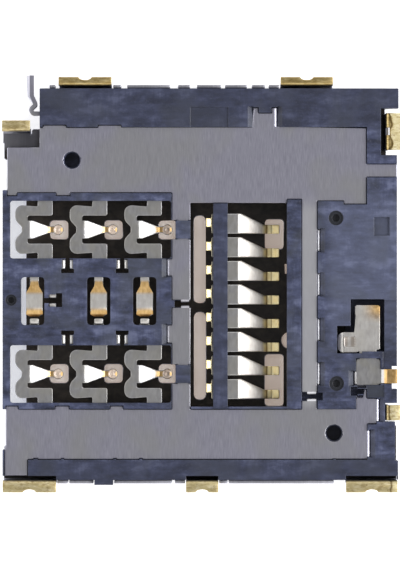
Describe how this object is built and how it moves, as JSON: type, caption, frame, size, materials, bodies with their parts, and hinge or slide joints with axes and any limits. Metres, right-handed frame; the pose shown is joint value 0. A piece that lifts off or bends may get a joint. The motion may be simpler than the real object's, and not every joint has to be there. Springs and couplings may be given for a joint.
{
  "type": "sim card socket",
  "caption": "Low stacked board socket for a SIM card and a small memory card, with spring contacts in a resin frame and a folded steel cover.",
  "frame": {"origin": "middle of the outline on the cover's outer face", "axes": "+Z points from the cover to the circuit board, cards go in along +X"},
  "size_m": [0.0186, 0.0194, 0.0023],
  "materials": {
    "navy_resin": "moulded, fine matt",
    "stainless_sheet": "rolled, faint grain along Y",
    "stainless_cover": "rolled sheet, gold flash on the solder tabs",
    "plated_contact": "plated copper alloy, bright on the bends"
  },
  "bodies": {
    "root": {"insulator_moulding": "navy_resin", "upper_floor_plate": "stainless_sheet", "lower_floor_plate": "stainless_sheet", "cover_shell": "stainless_cover", "side_spring_leaf": "stainless_sheet", "detect_switch_spring": "plated_contact", "sim_contact_1": "plated_contact", "sim_contact_2": "plated_contact", "sim_contact_3": "plated_contact", "sim_contact_4": "plated_contact", "sim_contact_5": "plated_contact", "sim_contact_6": "plated_contact", "memory_contact_1": "plated_contact", "memory_contact_2": "plated_contact", "memory_contact_3": "plated_contact", "memory_contact_4": "plated_contact", "memory_contact_5": "plated_contact", "memory_contact_6": "plated_contact", "memory_contact_7": "plated_contact", "memory_contact_8": "plated_contact"}
  },
  "joints": []
}
